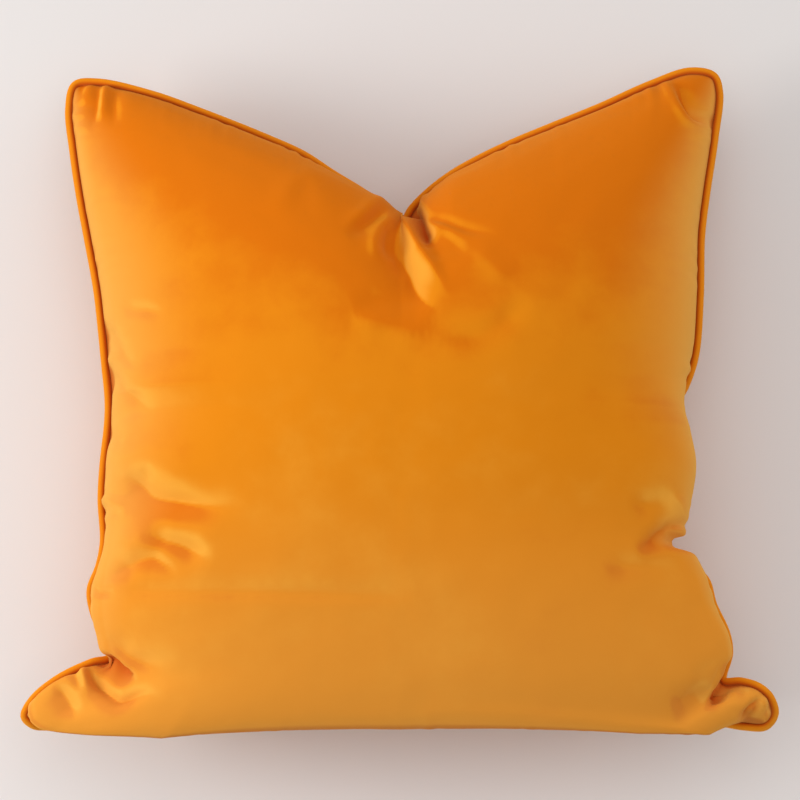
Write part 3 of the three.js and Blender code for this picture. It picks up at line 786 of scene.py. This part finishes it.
def velvet(name, colours, sheen):
    """Short cut-pile velvet with sheen; painted light, shade and sheen deepen or pale its colour."""
    material = bpy.data.materials.new(name)
    material.use_nodes = True
    tree = material.node_tree
    nodes, links = tree.nodes, tree.links
    shader = nodes["Principled BSDF"]
    shader.inputs["Roughness"].default_value = ROUGHNESS
    shader.inputs["Specular IOR Level"].default_value = SPECULAR
    shader.inputs["Sheen Roughness"].default_value = SHEEN_ROUGHNESS
    shader.inputs["Sheen Weight"].default_value = sheen
    shader.inputs["Sheen Tint"].default_value = SHEEN_TINT
    spot = nodes.new("ShaderNodeTexCoord").outputs["Object"]

    # painted light and shade, over soft uneven patches of tone
    blend = nodes.new("ShaderNodeMix")
    blend.inputs["Factor"].default_value = CRUSHED_SHARE
    links.new(noise(tree, spot, BRUSHED), blend.inputs[2])
    links.new(noise(tree, spot, CRUSHED), blend.inputs[3])
    patches_and_lighting = nodes.new("ShaderNodeMath")
    patches_and_lighting.operation = "MULTIPLY_ADD"
    patches_and_lighting.inputs[1].default_value = PATCH_STRENGTH
    links.new(blend.outputs[0], patches_and_lighting.inputs[0])
    links.new(point_value(tree, "painted_lighting"), patches_and_lighting.inputs[2])
    tone = nodes.new("ShaderNodeValToRGB")
    tone.color_ramp.interpolation = "EASE"
    tone.color_ramp.elements.new(TONE_PLACES[1])
    for stop, stop_place, colour in zip(tone.color_ramp.elements, TONE_PLACES, colours):
        stop.position = stop_place
        stop.color = (*colour, 1)
    links.new(patches_and_lighting.outputs["Value"], tone.inputs["Fac"])
    # painted sheen: paler and more yellow near the side edges and towards the bottom edge
    pale = towards(tree, tone.outputs["Color"], PAINTED_SHEEN_COLOUR, point_value(tree, "painted_sheen"))
    # painted shade: deeper in colour in the creases, along the seam's groove and where it turns under
    deep = towards(tree, pale, PAINTED_SHADE_COLOUR, point_value(tree, "shade"))
    links.new(deep, shader.inputs["Base Color"])

    # the pile: fine tufts that lean down the nap
    surface = nodes.new("ShaderNodeNewGeometry")
    lean = nodes.new("ShaderNodeVectorMath")
    lean.operation = "ADD"
    lean.inputs[1].default_value = PILE_LEAN
    upright = nodes.new("ShaderNodeVectorMath")
    upright.operation = "NORMALIZE"
    links.new(surface.outputs["Normal"], lean.inputs[0])
    links.new(lean.outputs["Vector"], upright.inputs[0])
    bump = nodes.new("ShaderNodeBump")
    bump.inputs["Strength"].default_value = PILE_STRENGTH
    bump.inputs["Distance"].default_value = PILE_DEPTH
    links.new(noise(tree, spot, PILE), bump.inputs["Height"])
    links.new(upright.outputs["Vector"], bump.inputs["Normal"])
    links.new(bump.outputs["Normal"], shader.inputs["Normal"])
    return material


cushion.data.materials.append(velvet("velvet", FACE_COLOURS, FACE_SHEEN))
piping.data.materials.append(velvet("piping_velvet", PIPING_COLOURS, PIPING_SHEEN))

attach(cushion, "root")
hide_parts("cushion")
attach(piping, "root")
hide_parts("piping")

# The floor.
bpy.ops.mesh.primitive_plane_add(size=FLOOR_SIZE, location=(0, 0, 0))
floor = bpy.context.object
floor.name = "floor"
floor_paint = bpy.data.materials.new("floor_paint")
floor_paint.use_nodes = True
floor_shader = floor_paint.node_tree.nodes["Principled BSDF"]
floor_shader.inputs["Base Color"].default_value = FLOOR_COLOUR
floor_shader.inputs["Roughness"].default_value = FLOOR_ROUGHNESS
floor.data.materials.append(floor_paint)


def soft_light(name, place_m, size, watts, colour):
    data = bpy.data.lights.new(name, "AREA")
    data.shape = "RECTANGLE"
    data.size, data.size_y = size
    data.energy = watts
    data.color = colour
    lamp = bpy.data.objects.new(name, data)
    lamp.location = place_m
    lamp.rotation_euler = (Vector(LIT_POINT) - Vector(place_m)).to_track_quat("-Z", "Y").to_euler()
    bpy.context.scene.collection.objects.link(lamp)


for light in LIGHTS:
    soft_light(*light)

world = bpy.data.worlds.new("studio")
world.use_nodes = True
sky_nodes, sky_links = world.node_tree.nodes, world.node_tree.links
sky_place = sky_nodes.new("ShaderNodeTexCoord")
sky_side = sky_nodes.new("ShaderNodeVectorMath")
sky_side.operation = "DOT_PRODUCT"
sky_side.inputs[1].default_value = SKY_BRIGHT_WAY
sky_level = sky_nodes.new("ShaderNodeMapRange")
for limit, value in SKY_LEVELS.items():
    sky_level.inputs[limit].default_value = value
sky_links.new(sky_place.outputs["Generated"], sky_side.inputs[0])
sky_links.new(sky_side.outputs["Value"], sky_level.inputs["Value"])
sky_links.new(sky_level.outputs["Result"], sky_nodes["Background"].inputs["Strength"])
sky_nodes["Background"].inputs["Color"].default_value = SKY_COLOUR
bpy.context.scene.world = world
bpy.context.scene.view_settings.view_transform = "Standard"

target = Vector(CAMERA_TARGET) + Vector(place)
away = Vector((0, -math.sin(CAMERA_TILT), math.cos(CAMERA_TILT)))
camera_data = bpy.data.cameras.new("camera")
camera_data.sensor_width = SENSOR
camera_data.lens = SENSOR * FOCAL_IN_IMAGE_WIDTHS
camera = bpy.data.objects.new("camera", camera_data)
camera.location = target + away * CAMERA_DISTANCE
camera.rotation_euler = (-away).to_track_quat("-Z", "Y").to_euler()
bpy.context.scene.collection.objects.link(camera)
bpy.context.scene.camera = camera
